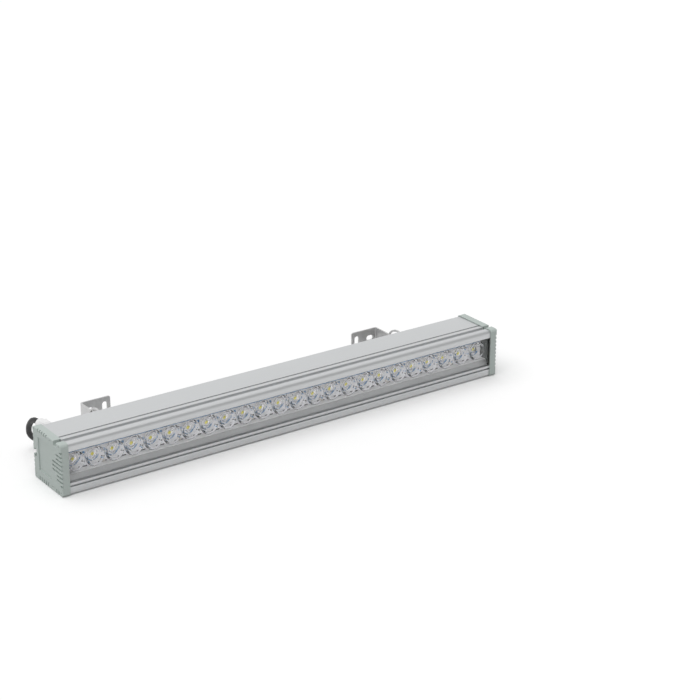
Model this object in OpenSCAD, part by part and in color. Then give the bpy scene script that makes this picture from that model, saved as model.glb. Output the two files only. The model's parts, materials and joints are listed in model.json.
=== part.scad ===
// Outdoor wall washer light: an extruded aluminium bar with a row of lenses behind glass,
// moulded end caps, a driver inside, a cable gland with its lead, and two tilting wall brackets.
// X runs along the light, the glass faces -Y, Z is up. Sizes are in millimetres.
// Pieces are drawn with y = 0 at the middle of the end caps' depth and are moved by y_shift
// at the end, so that the origin lies under the middle of the whole light.

/* [Light] */
// Length over the end caps
light_len = 500; // [440:5:700]
// Depth of the end caps, front to rear
light_d = 55; // [53:1:64]
// Height of the end caps
light_h = 51.4; // [50:0.2:60]

/* [Profile] */
// How far the end caps stand proud of the profile
cap_proud = 1; // [0.6:0.1:1.6]
// Wall of the hollow profile
wall_t = 2.5; // [2:0.1:3]
// Web behind the LED boards
web_t = 3; // [2:0.1:4]
// Depth from the front of the profile to the web
recess_d = 17.1; // [16:0.1:20]
// Height of the upper front lip
lip_h = 6.9; // [6:0.1:8]
// Height of the lower front lip, from the profile's underside
sill_h = 11.2; // [10:0.1:14]
// Step under the boards, above the sill
ledge_h = 3; // [1:0.1:4]
// Radius of the top front corner
front_corner_r = 3.5; // [2:0.1:5]
// Radius of the top rear corner
rear_corner_r = 2.5; // [1:0.1:4]
// Radius of both bottom corners
foot_corner_r = 1.5; // [1:0.1:3]
// Width of the channel in the top
channel_w = 5.2; // [4.5:0.1:6]
// Depth of the channel in the top
channel_d = 4; // [2:0.1:4.2]
// Middle of the channel, back from the front of the profile
channel_back = 10.1; // [9:0.1:12]
// Width and depth of the fine decorative grooves
fine_groove = 0.9; // [0.5:0.1:1.2]

/* [Rear T-slot] */
// Height of the T-slot's middle above the base
slot_z = 26; // [24:0.5:28]
// Opening of the T-slot
slot_mouth = 4.4; // [4.2:0.1:5]
// Width inside the T-slot
slot_w = 8; // [7.6:0.1:10]
// Depth inside the T-slot
slot_d = 3.6; // [3.4:0.1:5]
// Lips of the T-slot
slot_lip = 1.6; // [1.2:0.1:2.4]
// Wall round the T-slot
slot_wall = 2; // [1.5:0.1:3]

/* [Glass and lenses] */
// Thickness of the front glass
glass_t = 3; // [2:0.5:4]
// Front lip in front of the glass groove
glass_lip = 1.5; // [1:0.1:2]
// How deep the glass sits in each lip
glass_bite = 1.8; // [1:0.1:2]
// Rubber between the glass and its groove
rubber_t = 0.4; // [0.3:0.1:0.6]
// Least distance between lenses, which fill the length of the profile
lens_pitch = 20.1; // [20:0.1:24]
// Radius of a lens
lens_r = 9.8; // [8:0.1:9.9]
// Height of a lens above its board
lens_h = 9.6; // [7:0.1:9.8]
// Height of the row of lenses above the base
lens_z = 28; // [27:0.5:29]

/* [Boards] */
// Thickness of the boards
board_t = 1.6; // [1:0.1:2]
// Height of an LED board
board_h = 24.8; // [22:0.1:25]
// Length of the driver board
driver_len = 150; // [120:5:190]
// Distance of the driver from the gland's end of the light
driver_inset = 35; // [32:1:60]

/* [End caps] */
// Thickness of an end cap
cap_t = 8; // [6:0.5:12]
// Radius of an end cap's corners
cap_corner_r = 3; // [2:0.1:5]
// Distance between the cap's grooves
groove_pitch = 4.12; // [3.8:0.02:4.3]
// Width of the cap's grooves
groove_w = 2; // [1.2:0.1:2.4]
// Depth of the cap's grooves
groove_d = 1.5; // [0.8:0.1:2.5]
// Depth of the panel sunk in the cap
panel_d = 1; // [0.5:0.1:2]
// Thickness of the seal under a cap
seal_t = 1; // [0.8:0.1:1.5]

/* [Brackets] */
// Thickness of the bracket sheet
sheet_t = 1.5; // [1.2:0.1:2]
// Distance of a bracket's outer face from the end of the light
bracket_inset = 73.6; // [62:0.1:110]
// Width of a clamp plate along the light
clamp_w = 33.4; // [32:0.1:40]
// Reach of the wall plate's face behind the end caps
wall_reach = 53; // [50:0.5:80]
// Height of the wall bracket
wall_h = 19.5; // [18:0.5:24]
// Distance of the tilt axis behind the end caps
pivot_back = 16.5; // [16:0.1:18]
// Radius of the arc slot's middle line
arc_r = 12.5; // [12:0.1:14]
// Width of the arc slot and of the slots for wall screws
slot_hole_w = 5.2; // [4.6:0.1:5.6]
// Length of the slot along the light
wall_slot_len = 8; // [6:0.5:9]
// Length of the upright slot
upright_slot_len = 10; // [7:0.5:12]

/* [Cable] */
// Diameter of the mains lead
lead_d = 5.5; // [5:0.1:6]
// Distance of the gland from the end of the light
gland_inset = 17; // [16:0.5:40]
// Height of the gland above the base
gland_z = 42; // [40:0.5:42]
// Length of the gland behind the profile
gland_len = 21; // [19:0.5:24]

/* [Hidden] */
$fn = 48;

// Overrun of a cut past the face it opens
over = 1;
// Gap between bodies that move on each other
gap = 0.3;
// Gap between a sliding piece and its slot
slide_gap = 0.2;
// Radial clearance of a shank in its hole
run_gap = 0.05;
// Gap of a piece that is dropped into a seat
seat_gap = 0.15;

// Profile, worked out from the caps
front_y = -light_d / 2 + cap_proud;
rear_y = light_d / 2 - cap_proud;
foot_z = cap_proud;
top_z = light_h - cap_proud;
web_y = front_y + recess_d;
roof_z = top_z - lip_h;
sill_z = foot_z + sill_h;
ledge_z = sill_z + ledge_h;
chamber_front = web_y + web_t;
chamber_rear = rear_y - wall_t;
chamber_foot = foot_z + wall_t;
chamber_top = top_z - wall_t;
channel_y = front_y + channel_back;
slot_back_y = rear_y - slot_lip - slot_d;
pocket_d = seal_t + 0.4 * cap_proud;
profile_end = light_len / 2 - cap_t + pocket_d - seal_t;

// Groove for the glass and its rubber
glass_front = front_y + glass_lip + rubber_t;
glass_rear = glass_front + glass_t;
glass_groove_d = glass_bite + rubber_t;

// Ledge under the boards, and the fine lines of the profile
ledge_proud = 1.8;
ledge_front = web_y - board_t - ledge_proud;
top_line_back = 9.5;
top_line_w = 1.35;
sill_line_drop = 1.6;

// Grid of the end cap, its first line near the rear edge and its last near the front
grid_in = 2.3;
grid_lift = 1.2;
grid_y = light_d / 2 - grid_in;
grid_z = light_h / 2 + grid_lift;
grid_last = floor((light_d - 2 * grid_in) / groove_pitch);
dot_r = 0.8;
dot_d = 2.4;
top_dot_in = 2;
foot_dot_z = 3.9;
margin_top_len = 3.2;
margin_foot_len = 4.9;
margin_w_share = 0.8;
scallop_r = 1.3;
groove_reach = [3.7, 10.2, 10.2, 17.8, 17.8, 17.8, 10.2, 10.2, 3.7];
panel_front_in = 21.8;
panel_rear_in = 10.1;
panel_foot = 10.5;
panel_top_in = 7.9;
plug_t = 2;
plug_len = 3;
edge_cut = 0.6;

// Screws of the brackets, metric 4
screw_r = 2;
nut_af = 7;
nut_h = 3.2;
cap_head_r = 3.5;
cap_head_h = 4;
button_r = 4;
button_h = 2.2;
hex_af = 3;
hex_d = 1.6;
cap_hex_d = 3.2;
washer_r = 4.5;
washer_t = 0.8;
slot_screw_len = 6;
pivot_screw_len = 8;
lock_screw_len = 10;

// Brackets, drawn on the +X side
bracket_x = light_len / 2 - bracket_inset;
pivot_y = light_d / 2 + pivot_back;
clamp_y = rear_y + slide_gap;
wall_y = light_d / 2 + wall_reach;
clamp_ear_x = bracket_x - sheet_t;
wall_ear_x = clamp_ear_x - gap - sheet_t;
wall_plate_w = 32.1;
bend_r = 2.2;
clamp_up = 7;
clamp_h = 29.2;
clamp_hole_in = 7.7;
clamp_hole_pitch = 16.6;
spare_drop = 15.5;
ear_rim = 4.5;
ear_r = arc_r + ear_rim;
neck_h = 20;
ear_front = 13;
ear_end_y = pivot_y - ear_front;
plate_corner_r = 2;
ear_corner_r = 3;
wall_slot_in = 9;
upright_in = 25.8;
slot_bar_len = 40;
slot_bar_x = bracket_x - clamp_hole_in - clamp_hole_pitch / 2;

// Origin under the middle of the light with its brackets
y_shift = -(wall_y - light_d / 2) / 2;

// Lenses: as many pairs as fit, spread from end to end of the profile
lens_margin = 1.2;
lens_pairs = floor(profile_end / lens_pitch);
lens_step = (profile_end - lens_margin) / lens_pairs;

// Shape of a lens, in shares of its radius and its height
lens_foot_share = 0.5;
lens_neck_share = 0.9;
lens_flange_share = 0.82;
lens_well_share = 0.5;
lens_well_foot_share = 0.78;
lens_rim_share = 0.62;
lens_cavity_share = 0.33;
lens_cavity_h_share = 0.42;

// Boards, with a screw at every fourth lens
board_y = web_y - board_t;
board_z = ledge_z + slide_gap;
board_end_in = 1.4;
board_end = profile_end - board_end_in;
board_gap = 1;
board_screw_r = 1.5;
board_head_r = 2.2;
board_head_h = 1.6;
board_socket_af = 2;
board_socket_d = 0.8;
board_screw_len = 4;
board_screw_at = [2:4:lens_pairs - 1];
board_screw_drop = 8.6;
board_screw_z = lens_z - board_screw_drop;
led_w = 3.4;
led_base_h = 0.7;
led_dome_r = 1.4;

// Driver, on its tray in the rear chamber and clear of the chamber's round corners
tray_t = 1;
tray_lift = 4;
tray_side = 12;
tray_room = 0.6;
tray_front = chamber_front + wall_t / 2;
driver_w = chamber_rear - chamber_front - wall_t - 2 * tray_t - 2 * seat_gap - tray_room;
driver_x = -light_len / 2 + driver_inset + driver_len / 2;
driver_y = tray_front + tray_t + seat_gap + driver_w / 2;
driver_z = chamber_foot + tray_t + tray_lift;
driver_top = driver_z + board_t;

// Parts on the driver board, in shares of the board's length, its width and the room above it.
// Blocks: place along, foot, and size
room_h = chamber_top - driver_top;
block_shares = [
    [0.33, 0, [0.04, 0.56, 0.29]],
    [0.5, 0, [0.09, 0.56, 0.42]],
    [0.5, 0.08, [0.13, 0.4, 0.27]],
    [0.9, 0, [0.06, 0.4, 0.19]]
];
// Round capacitors: place along, middle across, radius and height
can_shares = [[0.68, 0, 0.17, 0.48], [0.8, 0.06, 0.11, 0.32], [0.4, -0.2, 0.08, 0.24]];
// Line choke: place along, radius of the ring and of its winding
choke_shares = [0.2, 0.14, 0.08];
// How far the parts sit in front of the board's middle
parts_front_share = 0.04;

// Terminals of the mains cores
terminal_in = 3;
terminal_x = driver_x - driver_len / 2 + terminal_in;
terminal_pitch = driver_w / 5;
terminal_rim = 0.5;
terminal_len = 9;
terminal_h = 9;
terminal_hole_r = 1.2;
terminal_hole_z = 3;
terminal_hole_d = 5;
terminal_reach = 4;

// Wires inside the light, with their routes in shares of the way from end to end
wire_r = 0.9;
wire_hole_r = 3;
wire_hole_back = 25;
wire_hole_x = driver_x + driver_len / 2 + wire_hole_back;
wire_sides = 6;
led_wire_in = 6;
led_wire_apart = 3;
led_wire_in_hole = 1.4;
mains_shares = [
    [0, 0, 0], [0, 0.24, 0], [0, 0.52, 0.13], [0.04, 0.92, 0.44], [0.12, 1, 0.83],
    [0.64, 1, 1], [0.84, 1, 1], [1, 1, 1]
];
led_wire_shares = [
    [0, 0, 0], [0, 0, 0.22], [0.07, 0, 0.5], [0.93, 0, 0.78], [1, 0.61, 1], [1, 1, 1]
];

// Gland, along +Y from the profile's rear face
gland_x = -light_len / 2 + gland_inset;
gland_seal_t = 1;
gland_thread_r = 4.6;
gland_bore_r = 3.6;
gland_af = 12;
gland_hex_h = 4;
gland_nut_r = 6.6;
gland_nut_hex_share = 0.4;
gland_nut_lift = 0.4;
gland_tip_len = 6;
gland_stub = 3;
hex_top = gland_seal_t + gland_hex_h;
barrel_top = gland_len - gland_tip_len;
nut_foot = hex_top + gland_nut_lift;
mouth_gap = 0.1;
// Outline of the dome nut from its foot to its tip, in shares of its radius and the gland's length
dome_shares = [[0.86, 0.62], [0.8, 0.89], [0.73, 0.96], [0.56, 1]];

// Lead, with the height of its middle on the floor
lead_r = lead_d / 2;
floor_z = lead_r + seat_gap;
lead_sides = 8;

// Coil of the lead's spare length: in at the bottom, out on top. Its middle is given behind the
// gland's place on the profile, in X and Y
coil_at = [203, 38.5];
coil_out_r = 34.5;
coil_gap = 0.5;
coil_step = lead_d + coil_gap;
coil_turns = 2;
climb_turns = 0.5;
coil_rings = 24;
coil_sides = 6;

// Routes of the lead: X and Y from the gland's place on the profile, then the height above the
// floor, in shares of the gland's height for the run and of the coil's height for the tail
run_points = [
    [0, 14.5, 1], [0, 21, 1], [0, 27.5, 0.99], [0, 35.5, 0.92], [0.5, 42.5, 0.77],
    [1.5, 48, 0.58], [4.5, 52.5, 0.37], [10.5, 56, 0.195], [19.5, 58.5, 0.075],
    [31, 60.5, 0.018], [44, 62, 0], [58, 63.5, 0], [72, 65, 0], [86, 66.3, 0], [100, 67.5, 0],
    [114, 68.7, 0], [128, 69.9, 0], [142, 71, 0], [156, 72, 0], [170, 72.7, 0], [184, 73, 0],
    [192, 73, 0], [197.5, 73, 0]
];
tail_points = [
    [208.5, 73, 1], [214, 73, 1], [225, 73.3, 1], [236, 73.5, 0.82], [247, 73.3, 0.42],
    [258, 72.5, 0.1], [269, 71.5, 0], [280, 70.5, 0], [285.5, 70, 0]
];

// Stripped cores: their ring in the sheath, and how far they stand out of it and fan apart
core_r_share = 0.2;
core_ring_share = 0.27;
core_r = core_r_share * lead_d;
core_ring = core_ring_share * lead_d;
core_len = 26;
core_fan = 5;
ferrule_r = 0.8;
ferrule_len = 8;

// Colours
satin = [0.78, 0.79, 0.79];
moulding = [0.63, 0.67, 0.65];
zinc = [0.66, 0.67, 0.68];
steel = [0.74, 0.74, 0.72];
white = [0.93, 0.94, 0.94];
black = [0.07, 0.07, 0.08];

// General shapes

// Moves a piece from the caps' own middle to the origin of the light
module placed() {
    translate([0, y_shift, 0]) children();
}

// Extrudes a section drawn in Y and Z along X, between two places
module along_x(x0, x1) {
    translate([x0, 0, 0]) rotate([90, 0, 90]) linear_extrude(x1 - x0) children();
}

// Rectangle from corner to corner
module box2(a, b) {
    translate(a) square(b - a);
}

// Block from corner to corner
module block(a, b) {
    translate(a) cube(b - a);
}

// Rectangle with round corners, from corner to corner
module round_box2(a, b, r) {
    box2(a + [r, 0], b - [r, 0]);
    box2(a + [0, r], b - [0, r]);
    for (y = [a[0] + r, b[0] - r])
        for (z = [a[1] + r, b[1] - r])
            translate([y, z]) circle(r);
}

// What is cut off a corner at c to leave a radius r; d points into the corner
module corner_cut2(c, d, r) {
    difference() {
        translate(c - [d[0] * r / 2, d[1] * r / 2] + over / 2 * d) square(r + over, center = true);
        translate(c - r * d) circle(r);
    }
}

// Straight slot with round ends between two points, w wide
module slot2(a, b, w) {
    length = norm(b - a);
    translate(a) rotate(atan2(b[1] - a[1], b[0] - a[0])) {
        translate([0, -w / 2]) square([length, w]);
        circle(w / 2);
        translate([length, 0]) circle(w / 2);
    }
}

// Hexagon over its flats
module hex2(af) {
    circle(af / sqrt(3), $fn = 6);
}

// Tube along a route

function unit(v) = v / norm(v);
function heading(p, i) = unit(p[min(i + 1, len(p) - 1)] - p[max(i - 1, 0)]);
function square_to(n, t) = unit(n - (n * t) * t);
function last(p) = p[len(p) - 1];
function side_vectors(p, n0) = [
    for (i = 0, n = square_to(n0, heading(p, 0)); i < len(p);
         i = i + 1, n = square_to(n, heading(p, min(i, len(p) - 1)))) n
];

// Tube of radius r with flat sides, square ends and a ring at each point of p
module tube(p, r, sides, n0 = [0, 0, 1]) {
    across = side_vectors(p, n0);
    points = [
        for (i = [0:len(p) - 1])
            for (k = [0:sides - 1])
                let (a = 360 * (k + 0.5) / sides)
                    p[i] + r * (cos(a) * across[i] + sin(a) * cross(heading(p, i), across[i]))
    ];
    walls = [
        for (i = [0:len(p) - 2])
            for (k = [0:sides - 1])
                let (a = i * sides + k, b = i * sides + (k + 1) % sides)
                    for (face = [[a, b + sides, b], [a, a + sides, b + sides]]) face
    ];
    near = [for (k = [1:sides - 2]) [0, k, k + 1]];
    far_at = (len(p) - 1) * sides;
    far = [for (k = [1:sides - 2]) [far_at, far_at + k + 1, far_at + k]];
    polyhedron(points, concat(walls, near, far));
}

// Screw along +Z with its head above z = 0 and its shank below
module screw(shank_r, length, head_r, head_h, socket_af, socket_d) {
    difference() {
        union() {
            cylinder(r = head_r, h = head_h);
            translate([0, 0, -length]) cylinder(r = shank_r, h = length);
        }
        translate([0, 0, head_h - socket_d]) linear_extrude(socket_d + over) hex2(socket_af);
    }
}

// Nut along +Z from z = 0
module nut() {
    difference() {
        linear_extrude(nut_h) hex2(nut_af);
        translate([0, 0, -over]) cylinder(r = screw_r + run_gap, h = nut_h + 2 * over);
    }
}

// Profile

// T-slot cut into the rear face
module t_slot2() {
    box2([rear_y - slot_lip - over, slot_z - slot_mouth / 2],
         [rear_y + cap_proud + over, slot_z + slot_mouth / 2]);
    box2([slot_back_y, slot_z - slot_w / 2], [rear_y - slot_lip, slot_z + slot_w / 2]);
}

// Round-bottomed channel in the top, also cut through the caps
module top_channel2(extra = 0) {
    w = channel_w + 2 * extra;
    r = channel_w / 4;
    foot = top_z - channel_d - extra;
    box2([channel_y - w / 2, foot + r], [channel_y + w / 2, light_h + over]);
    box2([channel_y - w / 2 + r, foot], [channel_y + w / 2 - r, foot + 2 * r]);
    for (s = [-1, 1]) translate([channel_y + s * (w / 2 - r), foot + r]) circle(r);
}

// Outline of the profile without its slots
module profile_outline2(inset = 0) {
    difference() {
        box2([front_y + inset, foot_z + inset], [rear_y - inset, top_z - inset]);
        corner_cut2([front_y + inset, top_z - inset], [-1, 1], front_corner_r);
        corner_cut2([rear_y - inset, top_z - inset], [1, 1], rear_corner_r);
        corner_cut2([front_y + inset, foot_z + inset], [-1, -1], foot_corner_r);
        corner_cut2([rear_y - inset, foot_z + inset], [1, -1], foot_corner_r);
    }
}

// Rear chamber that holds the driver
module chamber2() {
    difference() {
        round_box2([chamber_front, chamber_foot], [chamber_rear, chamber_top], wall_t / 2);
        box2([slot_back_y - slot_wall, slot_z - slot_w / 2 - slot_wall],
             [rear_y, slot_z + slot_w / 2 + slot_wall]);
    }
}

// Front recess with the groove of the glass
module recess2() {
    box2([front_y - over, sill_z], [web_y, roof_z]);
    box2([glass_front - rubber_t, sill_z - glass_groove_d],
         [glass_rear + rubber_t, roof_z + glass_groove_d]);
}

// Section of the aluminium profile
module profile2() {
    difference() {
        profile_outline2();
        difference() {
            recess2();
            box2([ledge_front, foot_z], [web_y + over, ledge_z]);
        }
        chamber2();
        // hollow under the sill
        round_box2([front_y + wall_t, chamber_foot],
                   [chamber_front - web_t / 2, sill_z - glass_groove_d - wall_t], wall_t / 2);
        t_slot2();
        top_channel2();
        // fine grooves in the top and in the front of the sill
        box2([channel_y + top_line_back, top_z - fine_groove],
             [channel_y + top_line_back + top_line_w, top_z + over]);
        box2([front_y - over, sill_z - sill_line_drop - fine_groove],
             [front_y + fine_groove, sill_z - sill_line_drop]);
    }
}

module housing_profile() placed() color(satin) difference() {
    along_x(-profile_end, profile_end) profile2();
    // tapped hole of the gland
    translate([gland_x, rear_y + over, gland_z]) rotate([90, 0, 0])
        cylinder(r = gland_thread_r + run_gap, h = wall_t + 2 * over);
    // hole through the web for the wires of the LED boards
    translate([wire_hole_x, chamber_front + over, lens_z]) rotate([90, 0, 0])
        cylinder(r = wire_hole_r, h = web_t + 2 * over);
    for (side = [-1, 1])
        for (k = board_screw_at)
            translate([side * k * lens_step, web_y - over, board_screw_z]) rotate([-90, 0, 0])
                cylinder(r = board_screw_r + run_gap, h = board_screw_len - board_t + seat_gap + over);
}

// Glass and its rubber

module front_glass() placed() color([0.75, 0.85, 0.86, 0.35]) block(
    [-profile_end, glass_front, sill_z - glass_bite], [profile_end, glass_rear, roof_z + glass_bite]);

module glass_seal() placed() color(white) along_x(-profile_end, profile_end) difference() {
    for (edge = [[sill_z - glass_groove_d, sill_z], [roof_z, roof_z + glass_groove_d]])
        box2([glass_front - rubber_t, edge[0]], [glass_rear + rubber_t, edge[1]]);
    box2([glass_front, sill_z - glass_bite], [glass_rear, roof_z + glass_bite]);
}

// Boards, LEDs and lenses

// Places of the lenses along the light
lens_places = [for (side = [-1, 1]) for (k = [1:lens_pairs]) side * (k - 0.5) * lens_step];

// Moves a piece drawn along +Z onto the front of the boards, facing -Y
module on_board(x, z) {
    translate([x, board_y, z]) rotate([90, 0, 0]) children();
}

module led_board(side) placed() color(white) difference() {
    block([min(side * board_gap / 2, side * board_end), board_y, board_z],
          [max(side * board_gap / 2, side * board_end), web_y, board_z + board_h]);
    for (k = board_screw_at)
        translate([side * k * lens_step, web_y + over, board_screw_z]) rotate([90, 0, 0])
            cylinder(r = board_screw_r + seat_gap, h = board_t + 2 * over);
}

module led_board_left() led_board(-1);
module led_board_right() led_board(1);

module led_chips() placed() color([0.9, 0.82, 0.3]) for (x = lens_places) on_board(x, lens_z) {
    translate([-led_w / 2, -led_w / 2, 0]) cube([led_w, led_w, led_base_h]);
    translate([0, 0, led_base_h]) intersection() {
        sphere(led_dome_r);
        cylinder(r = led_dome_r + over, h = led_dome_r + over);
    }
}

// Lens: a cup with a flange, a well in its face and a cavity over the LED
module lens() difference() {
    union() {
        cylinder(r1 = lens_foot_share * lens_r, r2 = lens_neck_share * lens_r,
                 h = lens_flange_share * lens_h);
        translate([0, 0, lens_flange_share * lens_h])
            cylinder(r = lens_r, h = (1 - lens_flange_share) * lens_h);
    }
    translate([0, 0, lens_well_foot_share * lens_h])
        cylinder(r1 = lens_well_share * lens_r, r2 = lens_rim_share * lens_r,
                 h = (1 - lens_well_foot_share) * lens_h);
    translate([0, 0, lens_h - seat_gap]) cylinder(r = lens_rim_share * lens_r, h = over);
    translate([0, 0, -over])
        cylinder(r = lens_cavity_share * lens_r, h = lens_cavity_h_share * lens_h + over);
}

module lenses() placed() color([0.85, 0.88, 0.9])
    for (x = lens_places) on_board(x, lens_z) lens();

module board_screws() placed() color(steel) for (side = [-1, 1])
    for (k = board_screw_at)
        on_board(side * k * lens_step, board_screw_z)
            screw(board_screw_r, board_screw_len, board_head_r, board_head_h,
                  board_socket_af, board_socket_d);

// End caps

// Long grooves of the cap, open at its front edge
module front_grooves2() {
    for (k = [-4:4])
        let (z = grid_z - k * groove_pitch)
            slot2([-light_d / 2 - over, z], [-light_d / 2 + groove_reach[k + 4] - groove_w / 2, z], groove_w);
}

// Short grooves and scallops in the top, bottom and rear margins
module margin_grooves2() {
    w = margin_w_share * groove_w;
    for (k = [2:6])
        slot2([grid_y - k * groove_pitch, light_h + over],
              [grid_y - k * groove_pitch, light_h - margin_top_len + w / 2], w);
    for (k = [2, 3, 4, 5, 6, grid_last - 2, grid_last - 1])
        slot2([grid_y - k * groove_pitch, -over], [grid_y - k * groove_pitch, margin_foot_len - w / 2], w);
    for (k = [-4, -3, -2, 2, 3, 4])
        translate([light_d / 2, grid_z + k * groove_pitch]) circle(scallop_r);
}

// End cap with its outer face on x = 0 and the light on its +X side
module end_cap() {
    difference() {
        intersection() {
            along_x(0, cap_t) round_box2([-light_d / 2, 0], [light_d / 2, light_h], cap_corner_r);
            // bevels of the outer edges, seen from above and from the front
            linear_extrude(light_h) polygon([
                [0, -light_d / 2 + edge_cut], [edge_cut, -light_d / 2], [cap_t, -light_d / 2],
                [cap_t, light_d / 2], [edge_cut, light_d / 2], [0, light_d / 2 - edge_cut]
            ]);
            translate([0, light_d / 2, 0]) rotate([90, 0, 0]) linear_extrude(light_d) polygon([
                [0, edge_cut], [edge_cut, 0], [cap_t, 0],
                [cap_t, light_h], [edge_cut, light_h], [0, light_h - edge_cut]
            ]);
        }
        along_x(-over, groove_d) {
            front_grooves2();
            margin_grooves2();
        }
        along_x(-over, panel_d) box2([-light_d / 2 + panel_front_in, panel_foot],
                                     [light_d / 2 - panel_rear_in, light_h - panel_top_in]);
        along_x(-over, dot_d) for (k = [0, grid_last - 4, grid_last])
            for (z = [foot_dot_z, light_h - top_dot_in])
                translate([grid_y - k * groove_pitch, z]) circle(dot_r);
        along_x(-over, cap_t + over) {
            t_slot2();
            top_channel2();
        }
        // pocket for the seal and the end of the profile
        along_x(cap_t - pocket_d, cap_t + over) profile_outline2(-seat_gap);
    }
    // plug that centres the cap in the rear chamber
    along_x(cap_t - pocket_d, cap_t - pocket_d + seal_t + plug_len) plug2();
}

// Hollow plug in front of the T-slot's wall
module plug2(extra = 0) {
    rear = slot_back_y - slot_wall - seat_gap;
    difference() {
        box2([chamber_front + seat_gap - extra, chamber_foot + wall_t / 2 - extra],
             [rear + extra, chamber_top - wall_t / 2 + extra]);
        if (extra == 0)
            box2([chamber_front + seat_gap + plug_t, chamber_foot + wall_t / 2 + plug_t],
                 [rear - plug_t, chamber_top - wall_t / 2 - plug_t]);
    }
}

// Puts a piece drawn on the cap's own face at the left or the right end
module at_end(side) {
    if (side < 0) translate([-light_len / 2, 0, 0]) children();
    else mirror([1, 0, 0]) translate([-light_len / 2, 0, 0]) children();
}

module end_cap_left() placed() color(moulding) at_end(-1) end_cap();
module end_cap_right() placed() color(moulding) at_end(1) end_cap();

module cap_seal() {
    along_x(cap_t - pocket_d, cap_t - pocket_d + seal_t) difference() {
        profile_outline2(seat_gap);
        plug2(seat_gap);
        top_channel2(seat_gap);
        box2([slot_back_y - seat_gap, slot_z - slot_w / 2 - seat_gap],
             [rear_y + over, slot_z + slot_w / 2 + seat_gap]);
    }
}

module cap_seal_left() placed() color(black) at_end(-1) cap_seal();
module cap_seal_right() placed() color(black) at_end(1) cap_seal();

// Driver

// Tray with a rail under each long edge of the board
module driver_tray() placed() color(white) along_x(driver_x - driver_len / 2, driver_x + driver_len / 2) {
    y0 = tray_front + tray_t;
    y1 = y0 + driver_w + 2 * seat_gap;
    difference() {
        box2([tray_front, chamber_foot], [y1 + tray_t, chamber_foot + tray_side]);
        box2([y0 + tray_t, chamber_foot + tray_t], [y1 - tray_t, chamber_foot + tray_side + over]);
        box2([y0, driver_z], [y1, chamber_foot + tray_side + over]);
    }
}

module driver_board() placed() color([0.1, 0.42, 0.25])
    block([driver_x - driver_len / 2 + over, driver_y - driver_w / 2, driver_z],
          [driver_x + driver_len / 2 - over, driver_y + driver_w / 2, driver_top]);

// Moves a part to its place along the driver board and across it, both as shares
module on_driver(along_share, across_share) {
    translate([driver_x + (along_share - 1 / 2) * driver_len,
               driver_y + (across_share - parts_front_share) * driver_w, driver_top]) children();
}

module driver_parts() placed() color([0.2, 0.22, 0.26]) {
    for (p = block_shares)
        let (size = [p[2][0] * driver_len, p[2][1] * driver_w, p[2][2] * room_h])
            on_driver(p[0], 0) translate([-size[0] / 2, -size[1] / 2, p[1] * room_h]) cube(size);
    for (p = can_shares)
        on_driver(p[0], p[1]) cylinder(r = p[2] * room_h, h = p[3] * room_h);
    on_driver(choke_shares[0], 0) rotate_extrude()
        translate([choke_shares[1] * room_h, choke_shares[2] * room_h]) circle(choke_shares[2] * room_h);
}

module terminal_block() placed() color([0.15, 0.45, 0.3]) difference() {
    w = 3 * terminal_pitch + 2 * terminal_rim;
    translate([terminal_x, driver_y - w / 2, driver_top]) cube([terminal_len, w, terminal_h]);
    for (k = [-1:1])
        translate([terminal_x - over, driver_y + k * terminal_pitch, driver_top + terminal_hole_z])
            rotate([0, 90, 0]) cylinder(r = terminal_hole_r, h = terminal_hole_d + over, $fn = 24);
}

// Points from a to b, each coordinate at its own share of the way
function between(a, b, shares) = [for (p = shares) [for (i = [0:2]) a[i] + p[i] * (b[i] - a[i])]];

// Place of core k round the middle of the lead: to the side, and up
function core_place(k) = core_ring * [sin(120 * k), cos(120 * k)];
function core_offset(k) = [core_place(k)[0], 0, core_place(k)[1]];

// Mains cores from the gland to the terminals, then the two wires to the LED boards. The upper
// core goes to the front terminal, so that it passes in front of the other two
module inner_wires() placed() color([0.5, 0.25, 0.15]) {
    for (k = [-1:1])
        let (a = [gland_x, rear_y - wall_t - gland_stub, gland_z] + core_offset(k + 1),
             b = [terminal_x + terminal_reach, driver_y + k * terminal_pitch, driver_top + terminal_hole_z])
            tube(between(a, b, mains_shares), wire_r, wire_sides, [1, 0, 0]);
    for (k = [-1, 1])
        let (a = [driver_x + driver_len / 2 - led_wire_in, driver_y + k * led_wire_apart, driver_top],
             b = [wire_hole_x + k * led_wire_in_hole, web_y, lens_z])
            tube(between(a, b, led_wire_shares), wire_r, wire_sides, [1, 0, 0]);
}

// Gland

// Moves a piece drawn along +Z onto the gland's axis, its z = 0 on the profile's rear face
module on_gland() {
    translate([gland_x, rear_y, gland_z]) rotate([-90, 0, 0]) children();
}

// Cylinder with a bore, from z0 to z1
module sleeve(z0, z1, outer_r, bore_r) {
    difference() {
        translate([0, 0, z0]) cylinder(r = outer_r, h = z1 - z0);
        translate([0, 0, z0 - over]) cylinder(r = bore_r, h = z1 - z0 + 2 * over);
    }
}

module gland_body() placed() color(white) on_gland() difference() {
    union() {
        translate([0, 0, gland_seal_t]) linear_extrude(gland_hex_h) hex2(gland_af);
        translate([0, 0, -wall_t - gland_stub])
            cylinder(r = gland_thread_r, h = wall_t + gland_stub + barrel_top);
    }
    translate([0, 0, -wall_t - gland_stub - over])
        cylinder(r = lead_r + seat_gap, h = wall_t + gland_stub + gland_len + 2 * over);
    translate([0, 0, hex_top]) cylinder(r = gland_bore_r, h = gland_len);
}

module gland_seal() placed() color(black) on_gland()
    sleeve(0, gland_seal_t, gland_nut_r, gland_thread_r + run_gap);

module gland_grommet() placed() color(black) on_gland()
    sleeve(hex_top, barrel_top, gland_bore_r, lead_r + run_gap);

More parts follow.
